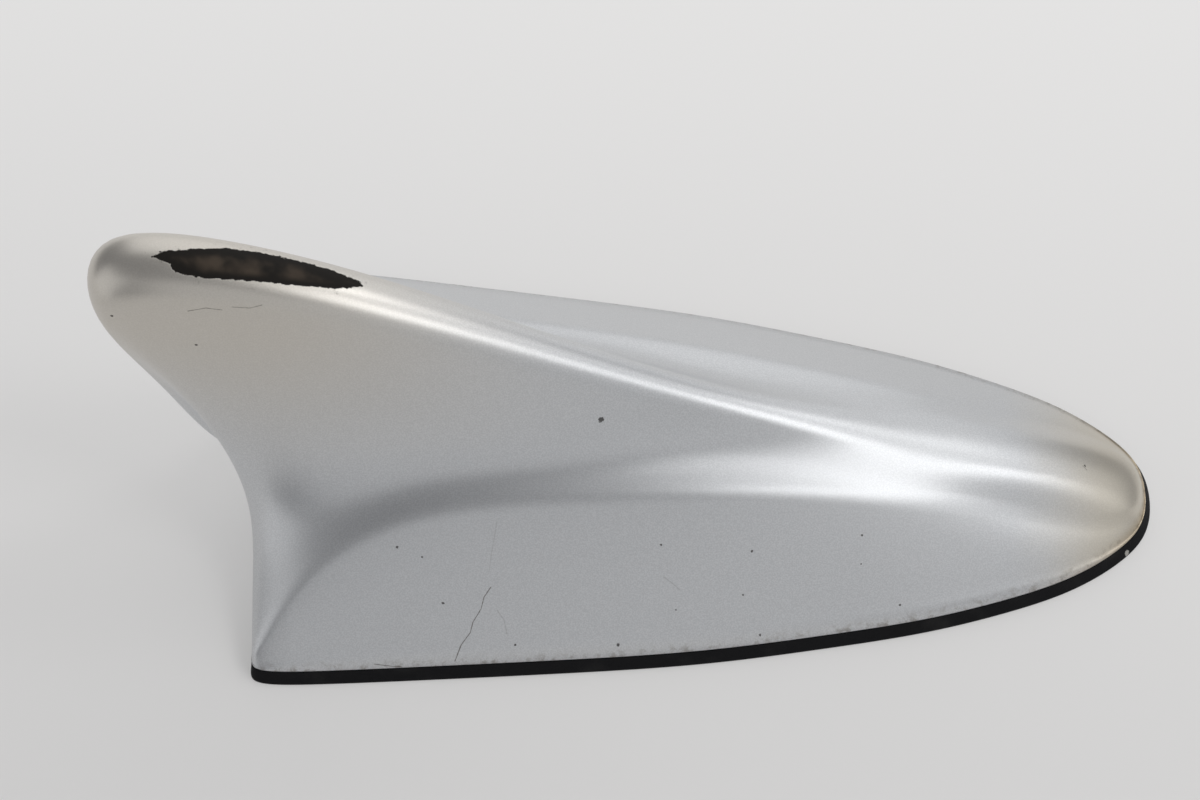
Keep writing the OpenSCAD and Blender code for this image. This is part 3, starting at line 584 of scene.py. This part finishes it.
# %% Store the worn patch on the mesh
WORN_EDGE = np.array([(148, 254), (170, 263), (178, 268), (173, 272), (200, 277), (250, 280), (300, 285),
                      (342, 288), (366, 285), (330, 270), (296, 261), (258, 253), (222, 249), (188, 250)],
                     float)
PIXELS_PER_MM = 6.5
# The patch ends this far over the crest, and lies only on the upper part of the fin
WORN_FAR_Y, WORN_LOW_Z, NOT_WORN = 3.2, FOOT_Z + 0.6 * FIN_H, -20


def inside_by(points, edge):
    """Distance inside a closed outline, negative outside, for points and outline in one plane."""
    best = np.full(len(points), 1e9)
    inside = np.zeros(len(points), bool)
    for a, b in zip(edge, np.roll(edge, -1, axis=0)):
        share = np.clip(((points - a) @ (b - a)) / ((b - a) @ (b - a)), 0, 1)[:, None]
        best = np.minimum(best, np.linalg.norm(points - a - share * (b - a), axis=1))
        crosses = (a[1] > points[:, 1]) != (b[1] > points[:, 1])
        at = a[0] + (points[:, 1] - a[1]) * (b[0] - a[0]) / np.where(b[1] == a[1], 1e-9, b[1] - a[1])
        inside ^= crosses & (points[:, 0] < at)
    return np.where(inside, best, -best)


def store_values(piece, name, values):
    layer = piece.data.attributes.new(name, "FLOAT", "POINT")
    layer.data.foreach_set("value", np.asarray(values, np.float32))


cover_points = np.empty(len(cover.data.vertices) * 3)
cover.data.vertices.foreach_get("co", cover_points)
cover_points = cover_points.reshape(-1, 3) / MM
worn = inside_by(picture_place(cover_points), WORN_EDGE) / PIXELS_PER_MM
worn = np.minimum(worn, WORN_FAR_Y - cover_points[:, 1])
store_values(cover, "worn", np.where(cover_points[:, 2] > WORN_LOW_Z, worn, NOT_WORN))
print("points in the worn patch:", int((worn > 0).sum()))


# %% [markdown]
# Every finish below is a small network of nodes. To keep them readable, a class wraps one output of a node,
# so that arithmetic on it adds the Math nodes. Any other node comes from its method add, which sets the
# node's own settings first, and then the values or links of its sockets.

# %% A wrapper for sockets
class Wire:
    """One output socket of a material's node tree."""

    def __init__(self, tree, socket=None):
        self.tree, self.socket = tree, socket

    def add(self, kind, settings=None, inputs=None, out=0):
        node = self.tree.nodes.new(kind)
        for name, value in (settings or {}).items():
            setattr(node, name, value)
        for name, value in (inputs or {}).items():
            if isinstance(value, Wire):
                self.tree.links.new(value.socket, node.inputs[name])
            else:
                node.inputs[name].default_value = value
        return Wire(self.tree, node.outputs[out])

    def maths(self, operation, a, b=0.0):
        return self.add("ShaderNodeMath", {"operation": operation}, {0: a, 1: b})

    def __add__(self, other):
        return self.maths("ADD", self, other)

    def __sub__(self, other):
        return self.maths("SUBTRACT", self, other)

    def __rsub__(self, other):
        return self.maths("SUBTRACT", other, self)

    def __mul__(self, other):
        return self.maths("MULTIPLY", self, other)

    __radd__ = __add__
    __rmul__ = __mul__


print("socket wrapper ready")


# %% [markdown]
# A few helpers name what the finishes share: the place on the object in millimetres, speckle of a given size,
# a soft threshold, and a blend of two colours.

# %% Helpers for finishes
COAT_ROUGH = 0.12


def new_finish(name, colour, rough, metal=0.0, coat=0.0):
    """A material with its shader's plain values, and the place on the object in millimetres."""
    mat = bpy.data.materials.new(name)
    mat.use_nodes = True
    shader = mat.node_tree.nodes["Principled BSDF"]
    shader.inputs["Base Color"].default_value = (*colour, 1)
    shader.inputs["Roughness"].default_value = rough
    shader.inputs["Metallic"].default_value = metal
    shader.inputs["Coat Weight"].default_value = coat
    shader.inputs["Coat Roughness"].default_value = COAT_ROUGH
    place = Wire(mat.node_tree).add("ShaderNodeTexCoord", out="Object")
    place = place.add("ShaderNodeVectorMath", {"operation": "SCALE"}, {0: place, "Scale": 1 / MM})
    return mat, shader, place


def speckle(place, size, detail=2.0, rough=0.5):
    """Smooth noise between 0 and 1 whose blobs are about size millimetres across."""
    return place.add("ShaderNodeTexNoise", None,
                     {"Vector": place, "Scale": 1 / size, "Detail": detail, "Roughness": rough}, "Fac")


def threshold(value, low, high):
    return value.add("ShaderNodeMapRange", {"interpolation_type": "SMOOTHSTEP"},
                     {"Value": value, "From Min": low, "From Max": high}, "Result")


def mix_colour(mask, a, b):
    """Colour a where the mask is 0 and colour b where it is 1."""
    a, b = [(*c, 1) if isinstance(c, tuple) else c for c in (a, b)]
    return mask.add("ShaderNodeMix", {"data_type": "RGBA"}, {0: mask, 6: a, 7: b}, 2)


def feed(shader, **wires):
    for name, wire in wires.items():
        wire.tree.links.new(wire.socket, shader.inputs[name.replace("_", " ")])


def bump(height, depth):
    """A normal from a height between 0 and 1, where 1 stands depth millimetres proud."""
    return height.add("ShaderNodeBump", None, {"Height": height, "Distance": depth * MM, "Strength": 1.0})


def larger(a, b):
    return a.maths("MAXIMUM", a, b)


print("helpers ready")

# %% [markdown]
# The silver is a basecoat of aluminium flakes under a clear coat. The flakes give a wide, soft highlight with
# a fine glitter in it, and the coat a faint sharper one. Chips, scratches and the worn patch break through it
# to the dark plastic, so their masks come first.

# %% Marks in the paint
WORN_RAGGED, WORN_GRAIN = 0.45, 0.9
WORN_START, WORN_FULL = -0.2, -0.07
CHIP_RAGGED, CHIP_GRAIN, SCRATCH_GRAIN = 1.6, 0.35, 0.5


def near_point(place, point, radius):
    """1 inside a round mark, with an edge that a fine noise makes uneven."""
    away = place.add("ShaderNodeVectorMath", {"operation": "DISTANCE"}, {0: place, 1: point}, "Value")
    uneven = (speckle(place, CHIP_GRAIN, 1) - 0.5) * radius * CHIP_RAGGED
    return 1 - threshold(away + uneven, radius * 0.75, radius * 1.15)


def near_line(place, a, b, half_width):
    """1 along a straight mark from a to b."""
    along = np.array(b) - np.array(a)
    from_a = place.add("ShaderNodeVectorMath", {"operation": "SUBTRACT"}, {0: place, 1: a})
    per_length = tuple(along / (along @ along))
    share = place.add("ShaderNodeVectorMath", {"operation": "DOT_PRODUCT"},
                      {0: from_a, 1: per_length}, "Value")
    share = place.add("ShaderNodeClamp", None, {"Value": share})
    reached = place.add("ShaderNodeVectorMath", {"operation": "SCALE"}, {0: tuple(along), "Scale": share})
    away = place.add("ShaderNodeVectorMath", {"operation": "DISTANCE"}, {0: from_a, 1: reached}, "Value")
    uneven = (speckle(place, SCRATCH_GRAIN, 1) - 0.5) * half_width * 2
    return 1 - threshold(away + uneven, half_width * 0.6, half_width * 1.4)


def worn_mask(place):
    """How far the paint is gone, 0 to 1, with a ragged edge round the stored patch."""
    depth = place.add("ShaderNodeAttribute", {"attribute_name": "worn"}, out="Fac")
    ragged = (speckle(place, WORN_GRAIN, 4, 0.7) - 0.5) * 2 * WORN_RAGGED
    return threshold(depth + ragged, WORN_START, WORN_FULL), depth


print("marks ready")

# %% [markdown]
# The paint carries painted warm reflections: yellow over the nose, and a warm grey over the fin towards its
# tip. The thin edge beside the gasket at the nose is coloured brown. Dust clings in patches along the foot.
# Each is a mask worked out from the place on the cover, so it follows the form from every side.

# %% Tints of age and dirt
NOSE_FROM, NOSE_FULL, NOSE_CLOUD = 44, 62, 8
RIM_FROM, RIM_FULL, RIM_H = 57, 66, 1.8
TIP_LOW, TIP_HIGH, TIP_FADE = 0.3, 0.85, 60
FOOT_DIRT_H = 1.6
# How strongly the painted reflections, the brown edge and the dirt colour the paint
NOSE_REFLECTION, RIM_TINT, TIP_REFLECTION, FOOT_TINT = 0.5, 0.6, 0.55, 0.5
# Colours of the painted warm reflections on the nose and on the fin's tip, then of dirt and the brown edge
WARM_REFLECTION, TIP_WARM_REFLECTION = (0.68, 0.58, 0.40), (0.67, 0.60, 0.49)
DIRT, RIM_BROWN = (0.16, 0.12, 0.08), (0.42, 0.32, 0.19)


def reflections_and_dirt(place, colour):
    """The paint's colour with painted reflections, a brown edge and dirt, and the mask of the foot's dirt."""
    forward = place.add("ShaderNodeSeparateXYZ", None, {0: place}, "X")
    height = place.add("ShaderNodeSeparateXYZ", None, {0: place}, "Z")
    # Painted warm reflection: the nose is coloured yellow, with a cloudy edge
    nose_reflection = threshold(forward + (speckle(place, 14, 3) - 0.5) * NOSE_CLOUD, NOSE_FROM, NOSE_FULL)
    colour = mix_colour(nose_reflection * NOSE_REFLECTION, colour, WARM_REFLECTION)
    # The lowest band of the nose, just above the gasket, is coloured brown
    rim = threshold(forward, RIM_FROM, RIM_FULL) * (1 - threshold(height, FOOT_Z + 0.3, FOOT_Z + RIM_H))
    colour = mix_colour(rim * RIM_TINT, colour, RIM_BROWN)
    # Painted warm reflection: the upper fin turns warm grey, fading out forwards from the rear
    tip_reflection = threshold(height, FOOT_Z + TIP_LOW * FIN_H, FOOT_Z + TIP_HIGH * FIN_H)
    tip_reflection = tip_reflection * (1 - threshold(forward, REAR_X, REAR_X + TIP_FADE))
    colour = mix_colour(tip_reflection * TIP_REFLECTION, colour, TIP_WARM_REFLECTION)
    foot = 1 - threshold(height, FOOT_Z + 0.2, FOOT_Z + FOOT_DIRT_H)
    foot = foot * threshold(speckle(place, 1.2, 5, 0.65), 0.46, 0.7)
    return mix_colour(foot * FOOT_TINT, colour, DIRT), foot


print("tints ready")

# %% [markdown]
# The chips and scratches are drawn one by one. The largest of their masks wins at each point, and the same
# masks take away the metal look and the coat, and sink the surface by the paint's thickness.

# %% Silver paint
SILVER, SILVER_LIGHT = (0.59, 0.60, 0.612), (0.69, 0.70, 0.712)
BARE_DARK, BARE_BROWN, CHIP_DARK = (0.014, 0.012, 0.010), (0.075, 0.057, 0.042), (0.035, 0.03, 0.026)
SCRATCH_HALF = 0.07
PAINT_METAL, PAINT_COAT, PAINT_ROUGH, PAINT_SHINE, PAINT_T = 0.85, 0.15, 0.36, 0.15, 0.025


def chip_mask(place):
    marks = [near_point(place, point, radius) for point, radius in chip_places if point]
    return functools.reduce(larger, marks)


def scratch_mask(place):
    marks = [near_line(place, a, b, SCRATCH_HALF) * strength
             for line, strength in scratch_places for a, b in zip(line, line[1:])]
    return functools.reduce(larger, marks)


def silver_paint():
    mat, shader, place = new_finish("silver_paint", SILVER, PAINT_ROUGH, PAINT_METAL, PAINT_COAT)
    shader.inputs["Specular IOR Level"].default_value = PAINT_SHINE
    flakes = speckle(place, 0.22, 1)
    colour, foot = reflections_and_dirt(place, mix_colour(threshold(flakes, 0.3, 0.75), SILVER, SILVER_LIGHT))

    gone, depth = worn_mask(place)
    stain = threshold(depth, -2.2, 0.3) * threshold(speckle(place, 1.1, 4, 0.7), 0.58, 0.72)
    colour = mix_colour(stain * 0.45, colour, BARE_BROWN)
    chips, scratches = chip_mask(place), scratch_mask(place)
    cloud = threshold(speckle(place, 3.5, 2, 0.4), 0.36, 0.72) * threshold(depth, 0.2, 1.5)
    colour = mix_colour(scratches, colour, BARE_BROWN)
    colour = mix_colour(chips * 0.85, colour, CHIP_DARK)
    colour = mix_colour(gone, colour, mix_colour(cloud, BARE_DARK, BARE_BROWN))
    broken = larger(gone, larger(chips, scratches))

    whole = 1 - broken
    feed(shader, Base_Color=colour, Metallic=whole * PAINT_METAL, Coat_Weight=whole * PAINT_COAT,
         Roughness=PAINT_ROUGH + flakes * 0.06 + foot * 0.1 + gone * 0.3,
         Normal=bump(flakes * 0.15 + whole, PAINT_T))
    return mat


silver = silver_paint()
print("silver paint:", len(silver.node_tree.nodes), "nodes")

# %% [markdown]
# Rubber is nearly black, with a dull skin that is never quite even: one noise drives its roughness and its
# bump, so that what stands proud is duller too. Foam is greyer and full of pores, which a Voronoi pattern
# gives, because its cells meet in sharp walls as bubbles do.

# %% Rubber and foam
RUBBER_PALE, RUBBER_CHIP = (0.05, 0.049, 0.047), (0.42, 0.41, 0.38)
RUBBER_SHINE, RUBBER_CHIP_R = 0.14, 0.45


def rubber(name, colour, grain, chip=None):
    mat, shader, place = new_finish(name, colour, 0.62)
    shader.inputs["Specular IOR Level"].default_value = RUBBER_SHINE
    fine, wide = speckle(place, grain, 3), speckle(place, 6, 3)
    shade = mix_colour(threshold(wide, 0.5, 0.85) * 0.35, colour, RUBBER_PALE)
    if chip:
        shade = mix_colour(near_point(place, *chip), shade, RUBBER_CHIP)
    feed(shader, Base_Color=shade, Roughness=0.5 + fine * 0.3, Normal=bump(fine, 0.06))
    return mat


def foam(name, colour, pore):
    mat, shader, place = new_finish(name, colour, 0.9)
    cells = place.add("ShaderNodeTexVoronoi", None, {"Vector": place, "Scale": 1 / pore}, "Distance")
    # The pores are coloured darker: painted shade inside them
    feed(shader, Base_Color=mix_colour(threshold(cells, 0.1, 0.6), tuple(c * 0.35 for c in colour), colour),
         Roughness=0.8 + cells * 0.15, Normal=bump(threshold(cells, 0.0, 0.5), 0.25))
    return mat


gasket_mark = (gasket_chip, RUBBER_CHIP_R) if gasket_chip else None
finishes = {
    "cover": silver,
    "gasket": rubber("gasket_rubber", (0.007, 0.007, 0.008), 0.3, gasket_mark),
    "cover_seal": rubber("seal_rubber", (0.02, 0.02, 0.021), 0.25),
    "hole_seal": foam("seal_foam", (0.07, 0.07, 0.075), 0.35),
    "foam_pad": foam("pad_foam", (0.2, 0.2, 0.22), 0.5),
    "satellite_pad": foam("tape_foam", (0.2, 0.2, 0.24), 0.25),
}
finishes["position_pad"] = finishes["satellite_pad"]
print("rubber and foam for", len(finishes) - 1, "nodes")

# %% [markdown]
# The metals differ by how they were made: the base is die-cast and a little grainy, the cans and the top cap
# are bright tinned sheet, the screws are zinc plated, and the contacts carry a thin wash of gold. One
# function serves them all, with two tones, a roughness, the size of the grain and its height.

# %% Metals
def metal(name, dark, light, rough, grain, relief, uneven=0.12):
    mat, shader, place = new_finish(name, dark, rough, 1.0)
    fine, wide = speckle(place, grain, 3), speckle(place, grain * 12, 3)
    feed(shader, Base_Color=mix_colour(threshold(wide, 0.3, 0.7), dark, light),
         Roughness=rough + (fine - 0.5) * uneven, Normal=bump(fine, relief))
    return mat


finishes["base_plate"] = metal("cast_aluminium", (0.42, 0.43, 0.44), (0.58, 0.59, 0.60), 0.48, 0.35, 0.05,
                               0.25)
finishes["cover_screws"] = metal("zinc_plate", (0.55, 0.55, 0.50), (0.70, 0.69, 0.62), 0.32, 0.4, 0.01)
finishes["board_screws"] = finishes["cover_screws"]
finishes["earth_ring"] = metal("bright_brass", (0.66, 0.50, 0.24), (0.80, 0.64, 0.34), 0.3, 0.3, 0.01)
finishes["top_cap"] = metal("tinned_sheet", (0.60, 0.60, 0.57), (0.74, 0.73, 0.70), 0.26, 0.5, 0.008)
finishes["shield_can"] = finishes["phone_element"] = finishes["top_cap"]
finishes["loading_coil"] = metal("copper_wire", (0.62, 0.28, 0.15), (0.78, 0.42, 0.24), 0.28, 0.3, 0.008)
finishes["socket_shells"] = metal("gold_wash", (0.78, 0.58, 0.26), (0.90, 0.72, 0.36), 0.22, 0.3, 0.004)
for name in ("socket_pins", "contact_spring", "satellite_pin", "position_pin"):
    finishes[name] = finishes["socket_shells"]
print("finishes so far for", len(finishes), "nodes")

# %% [markdown]
# The circuit boards are green laminate, whose copper tracks show through the lacquer as paler lines with
# square turns. Blender's brick pattern gives both, where modelled tracks would add thousands of faces. The
# patches are ceramic with a fired silver face, and the plastics are moulded with a fine grain.

# %% Boards, ceramics and plastics
TRACK_PITCH = 1.9


def laminate(name, colour, track, plane):
    """Green lacquer over copper tracks. The plane gives the two axes in which the tracks run."""
    mat, shader, place = new_finish(name, colour, 0.38)
    brick = place
    if plane == "XZ":
        brick = place.add("ShaderNodeMapping", None, {"Vector": place, "Rotation": (math.pi / 2, 0, 0)})
    lines = place.add("ShaderNodeTexBrick", {"offset": 0.5},
                      {"Vector": brick, "Scale": 1 / TRACK_PITCH, "Mortar Size": 0.06, "Brick Width": 2.6,
                       "Row Height": 0.9, "Mortar Smooth": 0.2}, "Fac")
    broken = lines * threshold(speckle(place, 3.5, 1), 0.42, 0.5)
    feed(shader, Base_Color=mix_colour(broken, colour, track), Roughness=0.3 + speckle(place, 0.4) * 0.2,
         Normal=bump(broken, 0.03))
    return mat


def fired(name, colour, face, face_low):
    """Ceramic that carries a silvered face wherever it looks straight up."""
    mat, shader, place = new_finish(name, colour, 0.5)
    up = place.add("ShaderNodeSeparateXYZ", None, {0: place.add("ShaderNodeNewGeometry", out="Normal")}, "Z")
    height = place.add("ShaderNodeSeparateXYZ", None, {0: place}, "Z")
    silvered = threshold(up, 0.9, 0.95) * threshold(height, face_low - 0.1, face_low)
    fine = speckle(place, 0.3, 3)
    ceramic = mix_colour(fine, colour, tuple(c * 0.85 for c in colour))
    feed(shader, Base_Color=mix_colour(silvered, ceramic, face),
         Metallic=silvered, Roughness=0.6 - silvered * 0.25 + fine * 0.1, Normal=bump(fine, 0.02))
    return mat


def moulded(name, colour, rough, grain):
    mat, shader, place = new_finish(name, colour, rough)
    fine, wide = speckle(place, grain, 2), speckle(place, 5, 2)
    feed(shader, Base_Color=mix_colour(wide, colour, tuple(min(1, c * 1.5) for c in colour)),
         Roughness=rough + (fine - 0.5) * 0.2, Normal=bump(fine, 0.025))
    return mat


GREEN, TRACK = (0.015, 0.10, 0.045), (0.05, 0.26, 0.11)
finishes["main_board"] = laminate("main_laminate", GREEN, TRACK, "XY")
finishes["fin_board"] = laminate("fin_laminate", GREEN, TRACK, "XZ")
patch_top = {name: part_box(name)[1][2] / MM for name in ("satellite_patch", "position_patch")}
for name, top in patch_top.items():
    finishes[name] = fired(name + "_ceramic", (0.70, 0.67, 0.60), (0.72, 0.70, 0.66), top)
finishes["fin_board_holder"] = moulded("holder_plastic", (0.022, 0.022, 0.024), 0.5, 0.25)
finishes["socket_housing"] = moulded("socket_plastic", (0.014, 0.014, 0.015), 0.45, 0.25)
finishes["amplifier_chips"] = moulded("chip_resin", (0.018, 0.018, 0.019), 0.55, 0.12)
finishes["chip_parts"] = moulded("chip_ceramic", (0.30, 0.21, 0.13), 0.5, 0.15)
print("finishes for", len(finishes), "of", len(nodes), "nodes")

# %% [markdown]
# Each CAD node now takes its finish. The fine cover and gasket stand in for the coarser solids of the CAD
# model, ride on its one body, and take the same finish, so that nothing is shown twice.

# %% Give every node its finish
for name, node in nodes.items():
    node.data.materials.clear()
    node.data.materials.append(finishes[name])
for piece, node_name in ((cover, "cover"), (gasket, "gasket")):
    piece.data.materials.append(finishes[node_name])
    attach(piece, "root")
    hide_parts(node_name)
print("own pieces in place of CAD nodes: cover, gasket")

# %% [markdown]
# The aerial lies on a pale sheet. In the photograph the sheet rises into brighter light behind the aerial, so
# its material adds a glow that grows towards the back. Only the camera and reflections see that glow: it
# lights nothing, and the aerial's shadow stays.

# %% Floor
FLOOR_COLOUR, FLOOR_SEEN = (0.80, 0.79, 0.78), (0.84, 0.835, 0.83)
FLOOR_HALF, FLOOR_Z = 2500, -0.02
# Share of the glow in front and how much it gains behind, between these two places along Y
GLOW_FRONT, GLOW_GAIN, GLOW_FROM, GLOW_TO = 0.34, 0.48, -90, 170


def floor_sheet():
    mat, shader, place = new_finish("floor_paper", FLOOR_COLOUR, 0.9)
    rays = place.add("ShaderNodeLightPath", out="Is Camera Ray")
    glossy = place.add("ShaderNodeLightPath", out="Is Glossy Ray")
    through = place.add("ShaderNodeLightPath", out="Is Transmission Ray")
    seen = larger(rays, larger(glossy, through))
    behind = threshold(place.add("ShaderNodeSeparateXYZ", None, {0: place}, "Y"), GLOW_FROM, GLOW_TO)
    glow = place.add("ShaderNodeEmission", None, {"Color": (*FLOOR_SEEN, 1), "Strength": 1.0})
    paper = Wire(mat.node_tree, shader.outputs[0])
    both = place.add("ShaderNodeMixShader", None,
                     {0: seen * (behind * GLOW_GAIN + GLOW_FRONT), 1: paper, 2: glow})
    mat.node_tree.links.new(both.socket, mat.node_tree.nodes["Material Output"].inputs["Surface"])
    return mat


floor_corners = [(x * FLOOR_HALF, y * FLOOR_HALF, FLOOR_Z) for x, y in ((-1, -1), (1, -1), (1, 1), (-1, 1))]
floor = mesh_piece("floor", floor_corners, [(0, 1, 2, 3)], False)
floor.data.materials.append(floor_sheet())
print("floor:", 2 * FLOOR_HALF, "mm square")


# %% [markdown]
# The light is soft and comes from all round. A small key lamp above the front makes the bright patch on the
# front shelf and the line along the crest. A wide lamp near it spreads their edges, and a small one behind
# the nose lights the crown. Three wide lamps low in front, right and left brighten the skirt and the tip, and
# one behind does so for the far side. The camera doesn't see the lamps themselves.

# %% Lamps and world
LAMP_AIM = (0, 0, 15)
WORLD_COLOUR, WORLD_STRENGTH = (0.95, 0.96, 1.0), 0.18


def lamp(name, direction, reach, size, watts):
    """A square area lamp, reach millimetres away in a direction, that looks at the middle of the aerial."""
    aim = Vector(LAMP_AIM) * MM
    light = bpy.data.lights.new(name, "AREA")
    light.shape = "SQUARE"
    light.size = size * MM
    light.energy = watts
    lamp_object = bpy.data.objects.new(name, light)
    lamp_object.location = aim + Vector(direction).normalized() * reach * MM
    lamp_object.rotation_euler = (aim - lamp_object.location).to_track_quat("-Z", "Y").to_euler()
    lamp_object.visible_camera = False
    scene.collection.objects.link(lamp_object)


lamp("key", (0.5, -0.12, 0.86), 650, 200, 0.47)
lamp("above", (0.65, 0.1, 0.76), 900, 900, 1.25)
lamp("back_right", (0.36, 0.42, 0.83), 650, 150, 0.35)
lamp("back", (0.0, 0.8, 0.52), 700, 800, 1.7)
lamp("right", (0.82, -0.42, 0.42), 700, 600, 0.42)
lamp("left", (-0.85, -0.35, 0.3), 700, 600, 0.65)
lamp("front", (0.15, -0.85, 0.4), 800, 800, 0.84)
world = bpy.data.worlds.new("studio")
scene.world = world
world.use_nodes = True
world.node_tree.nodes["Background"].inputs["Color"].default_value = (*WORLD_COLOUR, 1)
world.node_tree.nodes["Background"].inputs["Strength"].default_value = WORLD_STRENGTH
print("lamps:", len(bpy.data.lights))
